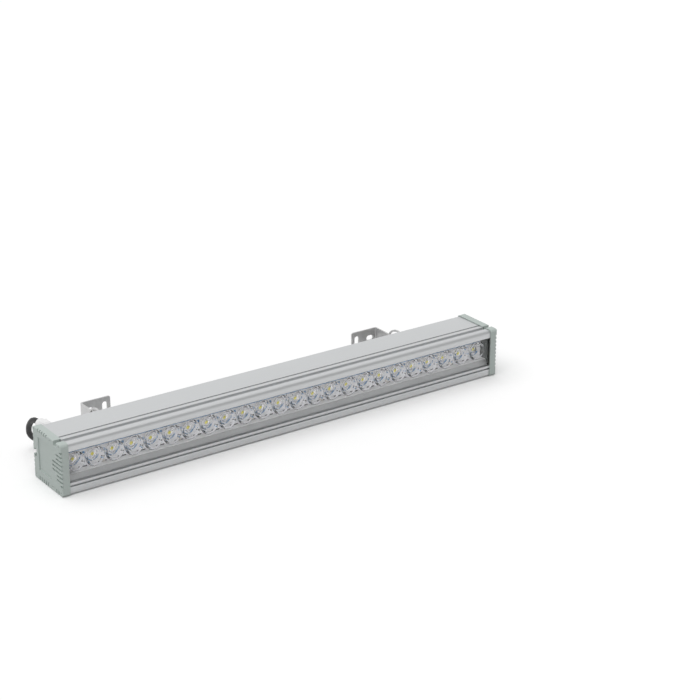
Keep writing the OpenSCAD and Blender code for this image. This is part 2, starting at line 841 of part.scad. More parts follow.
// Dome nut: six flats at its foot, then a taper with a rounded tip
module gland_nut() placed() color(white) on_gland() difference() {
    union() {
        translate([0, 0, nut_foot]) linear_extrude(gland_nut_hex_share * gland_len) hex2(gland_af);
        rotate_extrude() polygon(concat(
            [[0, nut_foot], [dome_shares[0][0] * gland_nut_r, nut_foot]],
            [for (p = dome_shares) [p[0] * gland_nut_r, p[1] * gland_len]],
            [[0, gland_len]]
        ));
    }
    translate([0, 0, nut_foot - over])
        cylinder(r = gland_thread_r + run_gap, h = barrel_top - nut_foot + over);
    cylinder(r = lead_r + mouth_gap, h = gland_len + over);
}

// Length of the sheathed lead that lies inside the gland
module lead_entry() placed() color(black) on_gland()
    translate([0, 0, -wall_t - gland_stub]) cylinder(r = lead_r, h = wall_t + gland_stub + run_points[0][1]);

// Lead

// Point of a route, from its list of places
function lead_point(p, height) = [gland_x + p[0], rear_y + p[1], floor_z + p[2] * height];
run_route = [for (p = run_points) lead_point(p, gland_z - floor_z)];
tail_route = [for (p = tail_points) lead_point(p, coil_step)];

// Coil: it climbs in the half turn round the smallest radius
function coil_r(t) = coil_out_r - coil_step * (coil_turns - abs(t - coil_turns));
function climb(t) = (1 - cos(180 * min(max((t - coil_turns) / climb_turns + 1 / 2, 0), 1))) / 2;
function coil_point(t) = [
    gland_x + coil_at[0] + coil_r(t) * sin(360 * t),
    rear_y + coil_at[1] + coil_r(t) * cos(360 * t),
    floor_z + coil_step * climb(t)
];
coil_total = 2 * coil_turns;
function coil_points(per_turn) = [for (i = [0:coil_total * per_turn]) coil_point(i / per_turn)];
coil_path = concat(
    [coil_point(0) - [lead_d, 0, 0]],
    coil_points(coil_rings),
    [coil_point(coil_total) + [lead_d, 0, 0]]
);

// Least gap between turns, on a finer row of points that lie at least half a turn apart
gap_rings = 72;
function least_gap(p) = min([
    for (i = [0:len(p) - 1])
        for (j = [i + gap_rings / 2:len(p) - 1]) norm(p[i] - p[j])
]) - lead_d;
function path_len(p) = [for (i = [1:len(p) - 1]) norm(p[i] - p[i - 1])] * [for (i = [1:len(p) - 1]) 1];

module lead_run() placed() color(black) tube(run_route, lead_r, lead_sides);

module lead_coil() {
    echo(least_gap_of_coil = least_gap(coil_points(gap_rings)), coil_length = path_len(coil_path));
    placed() color(black) tube(coil_path, lead_r, coil_sides);
}

module lead_tail() placed() color(black) tube(tail_route, lead_r, lead_sides);

// Route of stripped core k, straight at both ends and fanned to its side between them
sheath_end = last(tail_route);
tail_heading = unit(sheath_end - tail_route[len(tail_route) - 2]);
tail_side = cross([0, 0, 1], tail_heading);
function ease(s) = s * s * (3 - 2 * s);
function core_point(k, s) = sheath_end + tail_heading * (core_r + core_len * s)
    + tail_side * (core_place(k)[0] + k * core_fan * ease(s))
    + [0, 0, core_place(k)[1] * (1 - ease(s)) + (core_r + seat_gap - floor_z) * ease(s)];
function core_route(k) = concat(
    [core_point(k, 0) - core_r * tail_heading],
    [for (s = [0:0.2:1]) core_point(k, s)],
    [core_point(k, 1) + core_r * tail_heading]
);

module lead_cores() placed() color([0.25, 0.35, 0.6]) for (k = [-1:1])
    tube(core_route(k), core_r, lead_sides);

module core_ferrules() placed() color(steel) for (k = [-1:1])
    let (a = last(core_route(k)))
        tube([a, a + tail_heading * ferrule_len], ferrule_r, lead_sides);

// Brackets, drawn on the +X side; the left one is the same set turned half round

module on_side(side) {
    placed() translate([0, 0, slot_z]) rotate([0, side < 0 ? 180 : 0, 0]) children();
}

// Shape in Y and Z with its middle on the tilt axis, extruded along X between two places
module on_pivot(x0, x1) {
    translate([0, pivot_y, 0]) along_x(x0, x1) children();
}

// Bent sheet seen from above: a leg along X whose outer face is at y_out, and the bend at x1;
// d is the side that the sheet is bent to
module bend2(x0, x1, y_out, d, t) {
    c = [x1 - bend_r, y_out + d * bend_r];
    box2([x0, min(y_out, y_out + d * t)], [c[0], max(y_out, y_out + d * t)]);
    intersection() {
        translate(c) difference() {
            circle(bend_r);
            circle(bend_r - t);
        }
        box2([c[0], min(c[1], y_out)], [x1, max(c[1], y_out)]);
    }
}

// Clamp bracket: a plate on the rear face and a round ear with the arc slot
module clamp_bracket() {
    intersection() {
        translate([0, 0, clamp_up - clamp_h]) linear_extrude(clamp_h)
            bend2(bracket_x - clamp_w, bracket_x, clamp_y, 1, sheet_t);
        difference() {
            block([0, 0, clamp_up - clamp_h], [light_len, light_len, clamp_up]);
            clamp_holes();
            clamp_corners();
        }
    }
    difference() {
        union() {
            on_pivot(clamp_ear_x, bracket_x) circle(ear_r);
            block([clamp_ear_x, clamp_y + bend_r, clamp_up - neck_h], [bracket_x, pivot_y, clamp_up]);
        }
        on_pivot(clamp_ear_x - over, bracket_x + over) {
            circle(screw_r + run_gap);
            arc_slot2();
        }
        block([clamp_ear_x - over, 0, -light_len], [bracket_x + over, clamp_y + bend_r, light_len]);
    }
}

module arc_slot2() {
    intersection() {
        difference() {
            circle(arc_r + slot_hole_w / 2);
            circle(arc_r - slot_hole_w / 2);
        }
        translate([0, -ear_r]) square([ear_r, 2 * ear_r]);
    }
    for (z = [-arc_r, arc_r]) translate([0, z]) circle(slot_hole_w / 2);
}

module clamp_holes() {
    for (x = [0, clamp_hole_pitch])
        for (z = [0, -spare_drop])
            translate([bracket_x - clamp_hole_in - x, clamp_y - over, z]) rotate([-90, 0, 0])
                cylinder(r = screw_r + seat_gap, h = sheet_t + 2 * over);
}

// Rounded corners of the clamp plate, away from the bend
module clamp_corners() {
    for (z = [clamp_up, clamp_up - clamp_h])
        translate([0, clamp_y + bend_r, 0]) rotate([90, 0, 0]) linear_extrude(bend_r + over)
            corner_cut2([bracket_x - clamp_w, z], [-1, z > 0 ? 1 : -1], plate_corner_r);
}

// Wall bracket: a plate on the wall with two slots and an ear on the tilt axis
module wall_bracket() {
    x1 = wall_ear_x + sheet_t;
    x0 = x1 - wall_plate_w;
    difference() {
        translate([0, 0, -wall_h / 2]) linear_extrude(wall_h) {
            bend2(x0, x1, wall_y, -1, sheet_t);
            box2([wall_ear_x, ear_end_y], [x1, wall_y - bend_r]);
        }
        on_pivot(wall_ear_x - over, x1 + over) for (y = [0, arc_r])
            translate([y, 0]) circle(screw_r + run_gap);
        translate([0, wall_y + over, 0]) rotate([90, 0, 0]) linear_extrude(sheet_t + 2 * over) {
            slot2([x1 - wall_slot_in - (wall_slot_len - slot_hole_w) / 2, 0],
                  [x1 - wall_slot_in + (wall_slot_len - slot_hole_w) / 2, 0], slot_hole_w);
            slot2([x1 - upright_in, (slot_hole_w - upright_slot_len) / 2],
                  [x1 - upright_in, (upright_slot_len - slot_hole_w) / 2], slot_hole_w);
            for (s = [-1, 1]) corner_cut2([x0, s * wall_h / 2], [-1, s], plate_corner_r);
        }
        along_x(wall_ear_x - over, x1 + over) for (s = [-1, 1])
            corner_cut2([ear_end_y, s * wall_h / 2], [-1, s], ear_corner_r);
    }
}

module slot_nut() difference() {
    block([slot_bar_x - slot_bar_len / 2, slot_back_y + slide_gap, slide_gap - slot_w / 2],
          [slot_bar_x + slot_bar_len / 2, rear_y - slot_lip - slide_gap, slot_w / 2 - slide_gap]);
    for (s = [-1, 1])
        translate([slot_bar_x + s * clamp_hole_pitch / 2, slot_back_y, 0]) rotate([-90, 0, 0])
            cylinder(r = screw_r + run_gap, h = slot_d + over);
}

module slot_screws() for (s = [-1, 1])
    translate([slot_bar_x + s * clamp_hole_pitch / 2, clamp_y + sheet_t, 0]) rotate([-90, 0, 0])
        screw(screw_r, slot_screw_len, cap_head_r, cap_head_h, hex_af, cap_hex_d);

// Moves a piece drawn along +Z onto an axis along +X, y behind the tilt axis
module on_ear(x, y) {
    translate([x, pivot_y + y, 0]) rotate([0, 90, 0]) children();
}

module pivot_screw() on_ear(bracket_x, 0) screw(screw_r, pivot_screw_len, button_r, button_h, hex_af, hex_d);
module pivot_nut() on_ear(wall_ear_x - gap - nut_h, 0) nut();
module lock_washer() on_ear(bracket_x + gap, arc_r) sleeve(0, washer_t, washer_r, screw_r + run_gap);
module lock_screw() on_ear(bracket_x + gap + washer_t, arc_r)
    screw(screw_r, lock_screw_len, cap_head_r, cap_head_h, hex_af, cap_hex_d);
module lock_nut() on_ear(wall_ear_x - nut_h, arc_r) nut();

module left_clamp_bracket() color(zinc) on_side(-1) clamp_bracket();
module left_slot_nut() color(zinc) on_side(-1) slot_nut();
module left_slot_screws() color(steel) on_side(-1) slot_screws();
module left_pivot_screw() color(steel) on_side(-1) pivot_screw();
module left_pivot_nut() color(steel) on_side(-1) pivot_nut();
module left_wall_bracket() color(zinc) on_side(-1) wall_bracket();
module left_lock_screw() color(steel) on_side(-1) lock_screw();
module left_lock_washer() color(steel) on_side(-1) lock_washer();
module left_lock_nut() color(steel) on_side(-1) lock_nut();
module right_clamp_bracket() color(zinc) on_side(1) clamp_bracket();
module right_slot_nut() color(zinc) on_side(1) slot_nut();
module right_slot_screws() color(steel) on_side(1) slot_screws();
module right_pivot_screw() color(steel) on_side(1) pivot_screw();
module right_pivot_nut() color(steel) on_side(1) pivot_nut();
module right_wall_bracket() color(zinc) on_side(1) wall_bracket();
module right_lock_screw() color(steel) on_side(1) lock_screw();
module right_lock_washer() color(steel) on_side(1) lock_washer();
module right_lock_nut() color(steel) on_side(1) lock_nut();

housing_profile();
front_glass();
glass_seal();
led_board_left();
led_board_right();
led_chips();
lenses();
board_screws();
end_cap_left();
end_cap_right();
cap_seal_left();
cap_seal_right();
driver_tray();
driver_board();
driver_parts();
terminal_block();
inner_wires();
gland_body();
gland_seal();
gland_grommet();
gland_nut();
lead_entry();
lead_run();
lead_coil();
lead_tail();
lead_cores();
core_ferrules();
left_clamp_bracket();
left_slot_nut();
left_slot_screws();
left_pivot_screw();
left_pivot_nut();
left_wall_bracket();
left_lock_screw();
left_lock_washer();
left_lock_nut();
right_clamp_bracket();
right_slot_nut();
right_slot_screws();
right_pivot_screw();
right_pivot_nut();
right_wall_bracket();
right_lock_screw();
right_lock_washer();
right_lock_nut();
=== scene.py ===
import json
import math

import bmesh
import bpy
from mathutils import Matrix, Vector

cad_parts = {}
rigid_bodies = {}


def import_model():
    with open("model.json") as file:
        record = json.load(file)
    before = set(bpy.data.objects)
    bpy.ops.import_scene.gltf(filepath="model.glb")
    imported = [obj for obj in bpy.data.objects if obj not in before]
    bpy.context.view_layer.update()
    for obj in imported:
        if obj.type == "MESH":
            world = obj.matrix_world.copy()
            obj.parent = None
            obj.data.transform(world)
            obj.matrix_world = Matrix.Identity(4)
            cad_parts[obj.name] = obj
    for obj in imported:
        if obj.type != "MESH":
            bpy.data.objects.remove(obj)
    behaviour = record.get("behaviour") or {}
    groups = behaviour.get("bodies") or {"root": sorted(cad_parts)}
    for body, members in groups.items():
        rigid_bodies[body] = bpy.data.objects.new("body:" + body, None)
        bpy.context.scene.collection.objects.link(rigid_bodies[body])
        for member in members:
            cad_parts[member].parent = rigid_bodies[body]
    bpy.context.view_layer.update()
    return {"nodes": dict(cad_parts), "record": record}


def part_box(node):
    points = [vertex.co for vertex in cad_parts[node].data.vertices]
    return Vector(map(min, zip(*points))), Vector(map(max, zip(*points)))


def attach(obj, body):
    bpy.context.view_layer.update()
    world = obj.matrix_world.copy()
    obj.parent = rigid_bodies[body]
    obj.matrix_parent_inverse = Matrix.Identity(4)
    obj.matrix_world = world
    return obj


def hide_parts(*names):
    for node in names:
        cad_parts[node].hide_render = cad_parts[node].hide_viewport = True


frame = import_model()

MM = 0.001
NODES = frame["nodes"]
BODY_OF = {node: body for body, nodes in frame["record"]["behaviour"]["bodies"].items() for node in nodes}
LIGHT = "luminaire"
SIDES = ("left", "right")


def place_of(node):
    """Lowest and highest corner of a CAD node, in millimetres."""
    low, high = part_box(node)
    return Vector(low) / MM, Vector(high) / MM


# Sizes of the light, in millimetres: X along it, Y from the middle of the whole object
LENS_LOW, LENS_HIGH = place_of("lenses")
BOARD_LOW = place_of("led_board_left")[0]
SEAL_LOW, SEAL_HIGH = place_of("glass_seal")
PROFILE_END = place_of("housing_profile")[1].x
LENS_COUNT = 24
LENS_R = (LENS_HIGH.z - LENS_LOW.z) / 2
LENS_Z = (LENS_HIGH.z + LENS_LOW.z) / 2
LENS_FIRST = LENS_LOW.x + LENS_R
LENS_STEP = -2 * LENS_FIRST / (LENS_COUNT - 1)
BOARD_FACE_Y = BOARD_LOW.y

# Sizes of the lead, in metres
CORD_D = 0.0055
CORE_D = 0.0022

# Points closer than this are merged, in metres, and faces that meet at less than this angle are joined
WELD = 2e-6
FLAT_ANGLE = math.radians(0.5)
# Turns a shape that was made along Z to the front of the light
TURN_TO_FRONT = Matrix.Rotation(math.pi / 2, 4, "X")


# ---------------------------------------------------------------- camera

FOCAL_LENGTH = 96.34
SENSOR_WIDTH = 36
FAR_CLIP = 50
CAMERA_AT = (-0.91457, -1.42479, 0.75224)
CAMERA_FORWARD = (0.5387, 0.7544, -0.3751)
CAMERA_RIGHT = (0.815, -0.5795, 0.005)


def set_camera():
    data = bpy.data.cameras.new("viewpoint")
    data.lens = FOCAL_LENGTH
    data.sensor_width = SENSOR_WIDTH
    data.clip_end = FAR_CLIP
    camera = bpy.data.objects.new("viewpoint", data)
    bpy.context.scene.collection.objects.link(camera)
    forward = Vector(CAMERA_FORWARD).normalized()
    up = Vector(CAMERA_RIGHT).cross(forward).normalized()
    right = forward.cross(up)
    turn = Matrix((right, up, -forward)).transposed().to_4x4()
    camera.matrix_world = Matrix.Translation(CAMERA_AT) @ turn
    bpy.context.scene.camera = camera


set_camera()


# ---------------------------------------------------------------- node graphs

class Value:
    """What comes out of a socket. A sum on it adds a Math node."""

    def __init__(self, graph, socket):
        self.graph = graph
        self.socket = socket

    def sum(self, operation, a, b):
        return self.graph.node("ShaderNodeMath", {"operation": operation}, {0: a, 1: b})

    def __add__(self, other):
        return self.sum("ADD", self, other)

    __radd__ = __add__

    def __sub__(self, other):
        return self.sum("SUBTRACT", self, other)

    def __rsub__(self, other):
        return self.sum("SUBTRACT", other, self)

    def __mul__(self, other):
        return self.sum("MULTIPLY", self, other)

    __rmul__ = __mul__

    def __gt__(self, other):
        return self.sum("GREATER_THAN", self, other)


class Graph:
    """A node tree, built up from calls and sums."""

    def __init__(self, tree):
        self.tree = tree
        tree.nodes.clear()

    def node(self, kind, settings=(), sockets=(), out=0):
        """Adds a node: its settings come first, then the values or links of its sockets."""
        made = self.tree.nodes.new(kind)
        for key, value in dict(settings).items():
            setattr(made, key, value)
        for key, value in dict(sockets).items():
            self.feed(made.inputs[key], value)
        return Value(self, made.outputs[out])

    def feed(self, socket, value):
        """Links a value or a list of values to a socket, or sets the socket to a number or colour."""
        if isinstance(value, (list, tuple)) and value and isinstance(value[0], Value):
            for one in value:
                self.tree.links.new(one.socket, socket)
        elif isinstance(value, Value):
            self.tree.links.new(value.socket, socket)
        elif hasattr(value, "__len__") and len(value) == 3 and socket.type == "RGBA":
            socket.default_value = (*value, 1)
        else:
            socket.default_value = value

    def ray(self, kind):
        """1 for rays of a kind, 0 for the others."""
        return self.node("ShaderNodeLightPath", out=f"Is {kind} Ray")


# ---------------------------------------------------------------- finishes

class Finish(Graph):
    """A material with one Principled shader."""

    def __init__(self, name, **plain):
        self.material = bpy.data.materials.new(name)
        self.material.use_nodes = True
        super().__init__(self.material.node_tree)
        self.shader = self.tree.nodes.new("ShaderNodeBsdfPrincipled")
        self.end = self.tree.nodes.new("ShaderNodeOutputMaterial").inputs["Surface"]
        self.tree.links.new(self.shader.outputs[0], self.end)
        self.here = self.node("ShaderNodeTexCoord", out="Object")
        self.set({key.replace("_", " ").title().replace("Ior", "IOR"): v for key, v in plain.items()})

    def set(self, sockets):
        for name, value in sockets.items():
            self.feed(self.shader.inputs[name], value)

    def noise(self, scale, detail, stretch=None):
        """Noise from 0 to 1 on Object coordinates, finer along the axes that stretch raises."""
        at = self.here
        if stretch:
            at = self.node("ShaderNodeMapping", {}, {"Vector": self.here, "Scale": stretch})
        return self.node("ShaderNodeTexNoise", {}, {"Vector": at, "Scale": scale, "Detail": detail})

    def mix(self, share, a, b):
        return self.node("ShaderNodeMix", {"data_type": "RGBA"}, {0: share, 6: a, 7: b}, out=2)

    def bump(self, height, strength, distance):
        self.set({"Normal": self.node("ShaderNodeBump", {}, {
            "Height": height, "Strength": strength, "Distance": distance})})
        return self

    def lets_light_through(self):
        """Lamps shine through the piece, as they do through clear plastic and glass."""
        clear = self.node("ShaderNodeBsdfTransparent")
        opaque = Value(self, self.shader.outputs[0])
        both = self.node("ShaderNodeMixShader", {}, {0: self.ray("Shadow"), 1: opaque, 2: clear})
        self.tree.links.new(both.socket, self.end)
        return self


def satin_aluminium():
    f = Finish("satin_aluminium", metallic=0.85)
    drawn = f.noise(1, 4, (5, 700, 700))
    fine = f.noise(2600, 2)
    patch = f.noise(14, 2)
    tone = f.mix(drawn * 0.5 + patch * 0.5, (0.55, 0.56, 0.568), (0.605, 0.617, 0.622))
    f.set({"Base Color": tone, "Roughness": 0.38 + 0.08 * drawn + 0.04 * fine})
    return f.bump(drawn * 0.7 + fine * 0.3, 0.1, 0.0002).material


def cap_moulding():
    f = Finish("cap_moulding", specular_ior_level=0.35)
    spark = f.noise(1500, 3)
    patch = f.noise(22, 3)
    tone = f.mix(patch, (0.42, 0.475, 0.45), (0.465, 0.52, 0.495))
    f.set({"Base Color": f.mix(spark * 0.3, tone, (0.56, 0.61, 0.59)), "Roughness": 0.5 + 0.16 * spark})
    return f.bump(spark, 0.22, 0.0002).material


def bracket_steel():
    f = Finish("bracket_steel", metallic=0.95)
    rolled = f.noise(1, 3, (900, 900, 40))
    patch = f.noise(60, 3)
    tone = f.mix(rolled * 0.6 + patch * 0.4, (0.50, 0.50, 0.50), (0.64, 0.64, 0.64))
    f.set({"Base Color": tone, "Roughness": 0.34 + 0.16 * patch})
    return f.bump(rolled, 0.15, 0.0001).material


def screw_steel():
    f = Finish("screw_steel", metallic=1.0)
    turned = f.noise(1800, 2)
    tone = f.mix(f.noise(300, 2), (0.66, 0.63, 0.59), (0.80, 0.78, 0.75))
    f.set({"Base Color": tone, "Roughness": 0.2 + 0.14 * turned})
    return f.bump(turned, 0.15, 0.0001).material


def clear_moulding():
    f = Finish("clear_moulding", transmission_weight=1.0, ior=1.36, base_color=(1.0, 1.0, 1.0))
    flow = f.noise(420, 2)
    f.set({"Roughness": 0.01 + 0.03 * flow})
    return f.bump(flow, 0.08, 0.0003).lets_light_through().material


def front_pane():
    f = Finish("front_pane", transmission_weight=1.0, ior=1.3, base_color=(1.0, 1.0, 1.0))
    wave = f.noise(8, 1)
    f.set({"Roughness": 0.002 + 0.006 * wave})
    return f.bump(wave, 0.02, 0.0005).lets_light_through().material


def board_white():
    f = Finish("board_white", specular_ior_level=0.45)
    weave = f.noise(900, 3)
    tone = f.mix(f.noise(90, 3), (0.88, 0.88, 0.92), (0.96, 0.96, 0.985))
    f.set({"Base Color": tone, "Roughness": 0.34 + 0.12 * weave})
    return f.bump(weave, 0.12, 0.0001).material


def earth_skin():
    """The green and yellow skin of the earth core, in stripes that wind along it."""
    f = Finish("core_earth", specular_ior_level=0.5)
    x, y, z = (f.node("ShaderNodeSeparateXYZ", {}, {0: f.here}, out=i) for i in range(3))
    wave = f.node("ShaderNodeMath", {"operation": "SINE"}, {0: x * 900 + y * 2600 + z * 2600})
    f.set({"Base Color": f.mix(wave > 0.1, (0.05, 0.30, 0.08), (0.72, 0.66, 0.06)),
           "Roughness": 0.36 + 0.1 * f.noise(900, 3)})
    return f.material


def grained(name, noise, tones, roughness, bump, **plain):
    """A finish with one fine grain in its tone, its roughness (lowest and range) and its surface."""
    f = Finish(name, **plain)
    grain = f.noise(*noise)
    f.set({"Base Color": f.mix(grain, *tones), "Roughness": roughness[0] + roughness[1] * grain})
    return f.bump(grain, *bump).material


def white_nylon(name, shade):
    return grained(name, (1300, 3), ((shade * 0.95,) * 3, (shade * 1.04,) * 3), (0.38, 0.14), (0.12, 0.0001),
                   specular_ior_level=0.5)


def rubber(name, *tones):
    return grained(name, (1100, 3), tones, (0.44, 0.2), (0.2, 0.0001), specular_ior_level=0.4)


def core_skin(name, *tones):
    return grained(name, (900, 2), tones, (0.34, 0.14), (0.1, 0.0001), specular_ior_level=0.5)


ALUMINIUM = satin_aluminium()
CAP = cap_moulding()
BRACKET = bracket_steel()
SCREW = screw_steel()
CLEAR = clear_moulding()
PANE = front_pane()
BOARD = board_white()
TRACK = grained("board_track", (700, 2), ((0.07, 0.22, 0.44), (0.14, 0.33, 0.56)), (0.3, 0.1), (0.1, 0.00005),
                specular_ior_level=0.5)
PART = grained("board_part", (1400, 2), ((0.03, 0.03, 0.035), (0.07, 0.07, 0.075)), (0.35, 0.2), (0.1, 0.00005),
               specular_ior_level=0.5)
SOLDER = grained("solder", (1200, 2), ((0.78, 0.78, 0.8), (0.92, 0.92, 0.94)), (0.22, 0.14), (0.2, 0.0001),
                 metallic=1.0)
DIE = grained("die_yellow", (2600, 2), ((0.70, 0.60, 0.03), (0.86, 0.78, 0.12)), (0.4, 0.2), (0.1, 0.00003),
              specular_ior_level=0.5)
NYLON = white_nylon("white_nylon", 0.8)
CERAMIC = white_nylon("led_ceramic", 0.9)
RAIL_WHITE = white_nylon("rail_white", 0.97)
RUBBER = rubber("black_rubber", (0.02, 0.02, 0.02), (0.04, 0.04, 0.04))
SEAL = rubber("seal_grey", (0.12, 0.13, 0.125), (0.17, 0.18, 0.175))
SHEATH = rubber("lead_sheath", (0.010, 0.010, 0.011), (0.022, 0.022, 0.023))
CORE_BLUE = core_skin("core_blue", (0.03, 0.12, 0.42), (0.05, 0.18, 0.55))
CORE_EARTH = earth_skin()
CORE_BROWN = core_skin("core_brown", (0.11, 0.045, 0.02), (0.17, 0.07, 0.035))
DRIVER_GREEN = core_skin("driver_green", (0.02, 0.16, 0.07), (0.04, 0.24, 0.11))


# ---------------------------------------------------------------- making pieces

def to_mesh(shape, mesh, sharp_from=None):
    """Puts a shape in a mesh, and shades it smooth except for the edges that turn by an angle in degrees."""
    shape.to_mesh(mesh)
    shape.free()
    if sharp_from:
        mesh.shade_smooth()
        mesh.set_sharp_from_angle(angle=math.radians(sharp_from))
    return mesh


def new_piece(name, mesh, finish, body=LIGHT, stands_for=()):
    """Puts a finished mesh in the scene, on its body and in place of its CAD nodes."""
    piece = bpy.data.objects.new(name, mesh)
    bpy.context.scene.collection.objects.link(piece)
    mesh.materials.clear()
    mesh.materials.append(finish)
    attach(piece, body)
    if stands_for:
        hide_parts(*stands_for)
    return piece


def softened(node, edge, finish, sharp_from=35):
    """A CAD node's shape in the node's place, with its sharp edges rounded over a width in millimetres."""
    shape = bmesh.new()
    shape.from_mesh(NODES[node].data)
    bmesh.ops.remove_doubles(shape, verts=shape.verts, dist=WELD)
    bmesh.ops.dissolve_limit(shape, angle_limit=FLAT_ANGLE, verts=shape.verts, edges=shape.edges)
    mesh = to_mesh(shape, bpy.data.meshes.new(node + "_soft"), sharp_from)
    bevel = new_piece(node + "_soft", mesh, finish, BODY_OF[node], [node]).modifiers.new("edges", "BEVEL")
    bevel.width = edge * MM
    bevel.segments = 2
    bevel.limit_method = "ANGLE"
    bevel.angle_limit = math.radians(sharp_from)
    bevel.harden_normals = True
    bevel.use_clamp_overlap = True


def lathe(profile, sides):
    """A turned shape that faces the front: profile holds radius and height over the board, in millimetres."""
    shape = bmesh.new()
    rings = []
    for radius, along in profile:
        if radius < 1e-6:
            rings.append([shape.verts.new((0, 0, along))])
        else:
            rings.append([shape.verts.new((radius * math.cos(a), radius * math.sin(a), along))
                          for a in (2 * math.pi * k / sides for k in range(sides))])
    for low, high in zip(rings, rings[1:]):
        for k in range(sides):
            quad = [low[k % len(low)], low[(k + 1) % len(low)], high[(k + 1) % len(high)], high[k % len(high)]]
            corners = list(dict.fromkeys(quad))
            if len(corners) > 2:
                shape.faces.new(corners)
    bmesh.ops.recalc_face_normals(shape, faces=shape.faces)
    shape.transform(Matrix.Scale(MM, 4) @ TURN_TO_FRONT)
    return to_mesh(shape, bpy.data.meshes.new("turned"), sharp_from=40)


def blocks(boxes):
    """One mesh of boxes, each from corner to corner, in millimetres."""
    shape = bmesh.new()
    for a, b in boxes:
        low = Vector([min(p, q) for p, q in zip(a, b)])
        size = Vector([abs(q - p) for p, q in zip(a, b)])
        made = bmesh.ops.create_cube(shape, size=1)
        bmesh.ops.transform(shape, verts=made["verts"], matrix=Matrix.Translation(low + size / 2)
                            @ Matrix.Diagonal((*size, 1)))
    shape.transform(Matrix.Scale(MM, 4))
    return to_mesh(shape, bpy.data.meshes.new("blocks"))


# ---------------------------------------------------------------- geometry nodes

class Maker(Graph):
    """A Geometry Nodes tree with named sizes that ends in real faces with their finish."""

    def __init__(self, name, sizes):
        super().__init__(bpy.data.node_groups.new(name, "GeometryNodeTree"))
        face = self.tree.interface
        face.new_socket("Geometry", in_out="OUTPUT", socket_type="NodeSocketGeometry")
        face.new_socket("Shape", in_out="INPUT", socket_type="NodeSocketGeometry")
        self.ids = {key: face.new_socket(key, in_out="INPUT", socket_type="NodeSocket" + kind).identifier
                    for key, kind in {**sizes, "Finish": "Material"}.items()}
        start = self.tree.nodes.new("NodeGroupInput")
        self.size = {socket.name: Value(self, socket) for socket in start.outputs if socket.name}

    def finish(self, geometry):
        real = self.node("GeometryNodeRealizeInstances", {}, {"Geometry": geometry})
        coated = self.node("GeometryNodeSetMaterial", {}, {"Geometry": real, "Material": self.size["Finish"]})
        end = self.tree.nodes.new("NodeGroupOutput")
        self.tree.links.new(coated.socket, end.inputs[0])
        return self

    def make(self, name, mesh, finish, sizes, stands_for=()):
        """Runs the tree on a mesh and puts the result in the scene as a plain mesh."""
        worker = bpy.data.objects.new(name + "_worker", mesh)
        bpy.context.scene.collection.objects.link(worker)
        modifier = worker.modifiers.new("maker", "NODES")
        modifier.node_group = self.tree
        for key, value in {**sizes, "Finish": finish}.items():
            modifier[self.ids[key]] = value
        result = bpy.data.meshes.new_from_object(worker.evaluated_get(bpy.context.evaluated_depsgraph_get()))
        worker.modifiers.remove(modifier)
        bpy.data.objects.remove(worker)
        result.name = name
        return new_piece(name, result, finish, stands_for=stands_for)


def row_maker():
    """Repeats a shape along a line."""
    m = Maker("row_of_shapes", {"Count": "Int", "Start": "Vector", "Step": "Vector"})
    line = m.node("GeometryNodeMeshLine", {"mode": "OFFSET"}, {
        "Count": m.size["Count"], "Start Location": m.size["Start"], "Offset": m.size["Step"]})
    return m.finish(m.node("GeometryNodeInstanceOnPoints", {}, {"Points": line, "Instance": m.size["Shape"]}))


def extrusion_maker():
    """Rounds the corners of a drawn section, fills it, draws it out along X and drills it."""
    m = Maker("extruded_bar", {"Length": "Float", "Fineness": "Int"})

    def mark(name, kind):
        return m.node("GeometryNodeInputNamedAttribute", {"data_type": kind}, {"Name": name})

    def part_of_drawing(out):
        return m.node("GeometryNodeSeparateGeometry", {"domain": "POINT"}, {
            "Geometry": m.size["Shape"], "Selection": mark("in_section", "BOOLEAN")}, out=out)

    line = m.node("GeometryNodeMeshToCurve", {}, {"Mesh": part_of_drawing("Selection")})
    rounded = m.node("GeometryNodeFilletCurve", {"mode": "POLY"}, {
        "Curve": line, "Count": m.size["Fineness"], "Radius": mark("corner", "FLOAT"), "Limit Radius": True})
    face = m.node("GeometryNodeFillCurve", {"mode": "NGONS"}, {"Curve": rounded})
    along = m.node("ShaderNodeCombineXYZ", {}, {"Z": m.size["Length"]})
    drawn = m.node("GeometryNodeExtrudeMesh", {"mode": "FACES"}, {
        "Mesh": face, "Offset": along, "Individual": False})
    back = m.node("GeometryNodeFlipFaces", {}, {"Mesh": face})
    whole = m.node("GeometryNodeJoinGeometry", {}, {"Geometry": [drawn, back]})
    closed = m.node("GeometryNodeMergeByDistance", {}, {"Geometry": whole, "Distance": 1e-6})
    start = m.node("ShaderNodeCombineXYZ", {}, {"X": m.size["Length"] * -0.5})
    laid = m.node("GeometryNodeTransform", {}, {
        "Geometry": closed, "Translation": start, "Rotation": (math.pi / 2, 0, math.pi / 2)})
    drilled = m.node("GeometryNodeMeshBoolean", {"operation": "DIFFERENCE", "solver": "EXACT"}, {
        "Mesh 1": laid, "Mesh 2": part_of_drawing("Inverted")})
    return m.finish(drilled)


ROW = row_maker()
BAR = extrusion_maker()


def row(name, mesh, finish, count, start, step, stands_for=()):
    """A row of one shape, start and step in millimetres."""
    return ROW.make(name, mesh, finish, {
        "Count": count, "Start": tuple(Vector(start) * MM), "Step": tuple(Vector(step) * MM)}, stands_for)


# ---------------------------------------------------------------- the lead

